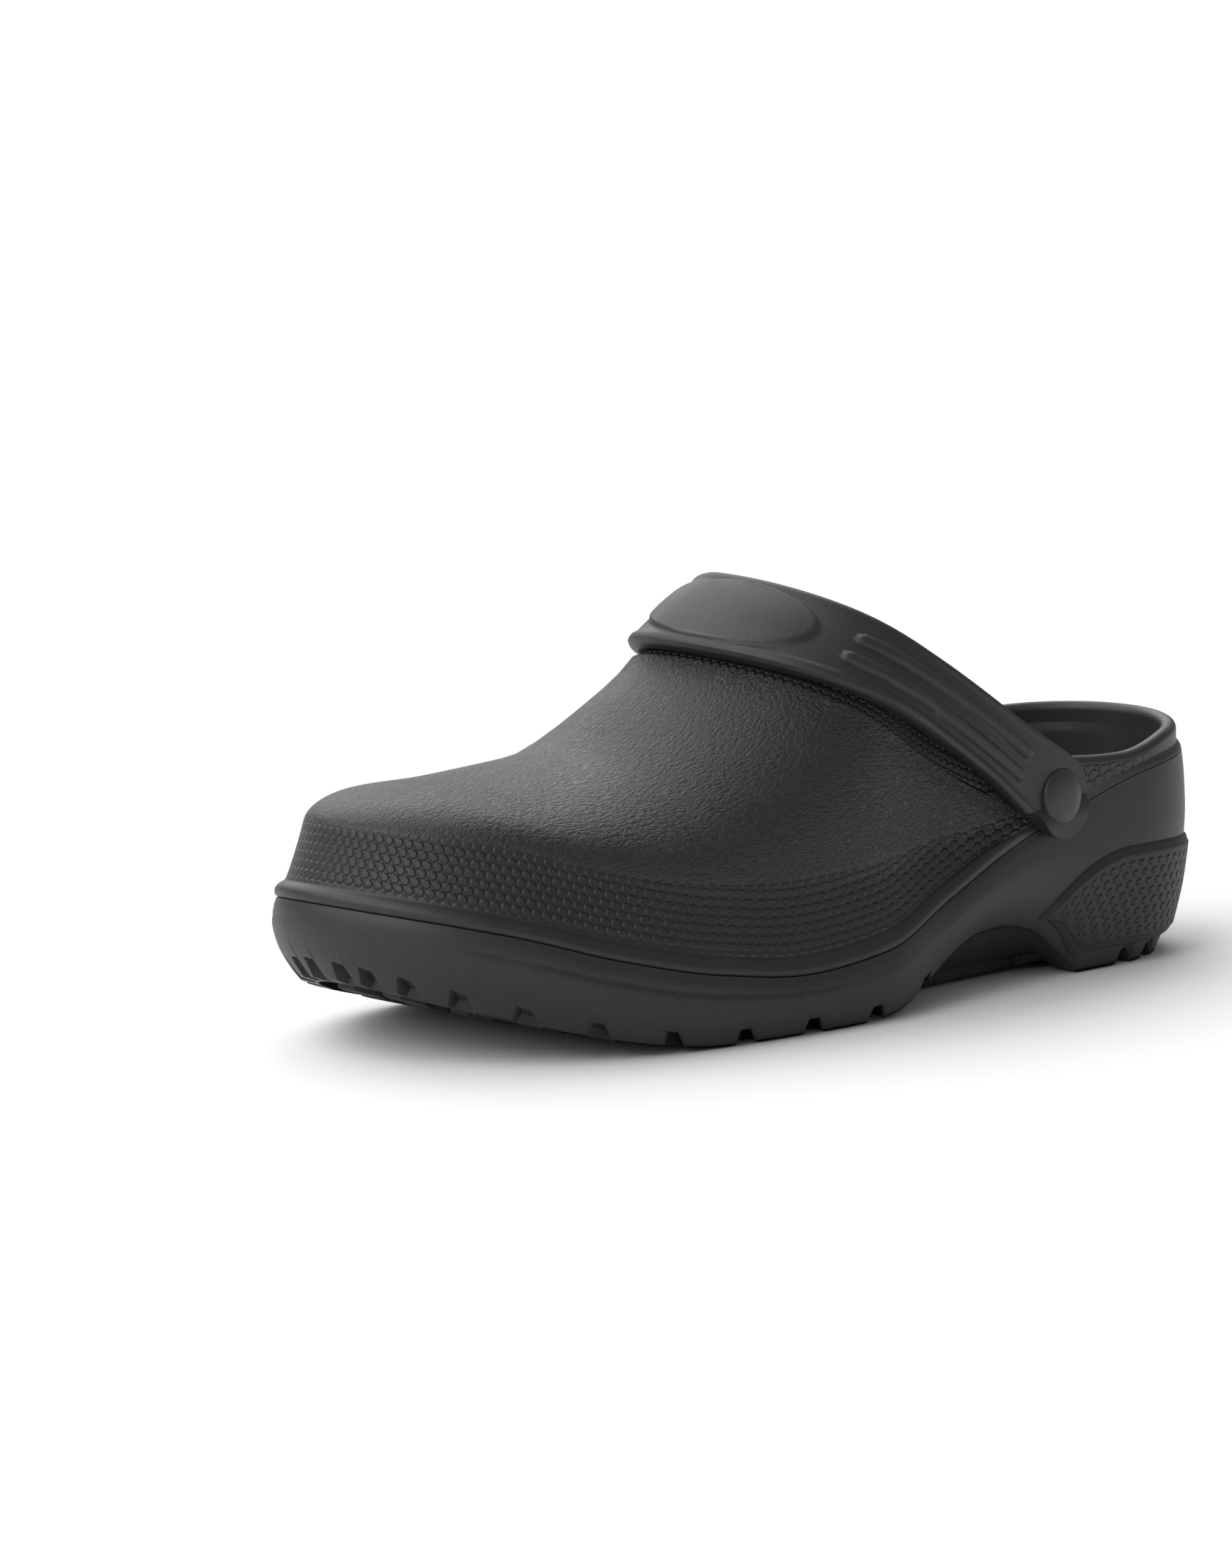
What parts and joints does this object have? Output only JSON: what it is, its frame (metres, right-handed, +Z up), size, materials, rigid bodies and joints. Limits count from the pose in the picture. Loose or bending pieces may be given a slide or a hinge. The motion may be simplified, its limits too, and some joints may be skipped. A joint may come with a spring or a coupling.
{
  "type": "clog shoe",
  "caption": "Left foam kitchen clog with a hollow closed-toe upper, ribbed heel strap folded forward over the instep, plug rivets, insole and lugged outsole.",
  "frame": {"origin": "middle of the shoe's bounding box in plan, on the floor", "axes": "+X towards the toe, +Y to the outer (lateral) side of the left foot, +Z up"},
  "size_m": [0.2964, 0.1132, 0.1101],
  "materials": {
    "body_foam": "matte charcoal moulded foam, leather grain on the vamp, embossed discs on the band",
    "outsole_rubber": "matte black with fine pin texture",
    "insole_foam": "matte charcoal foam with a moulded relief",
    "strap_foam": "satin charcoal moulded foam",
    "rivet_plastic": "satin charcoal plastic"
  },
  "bodies": {
    "root": {"clog_body": "body_foam", "outsole": "outsole_rubber", "insole": "insole_foam", "strap": "strap_foam", "rivet_lateral": "rivet_plastic", "rivet_medial": "rivet_plastic"}
  },
  "joints": []
}
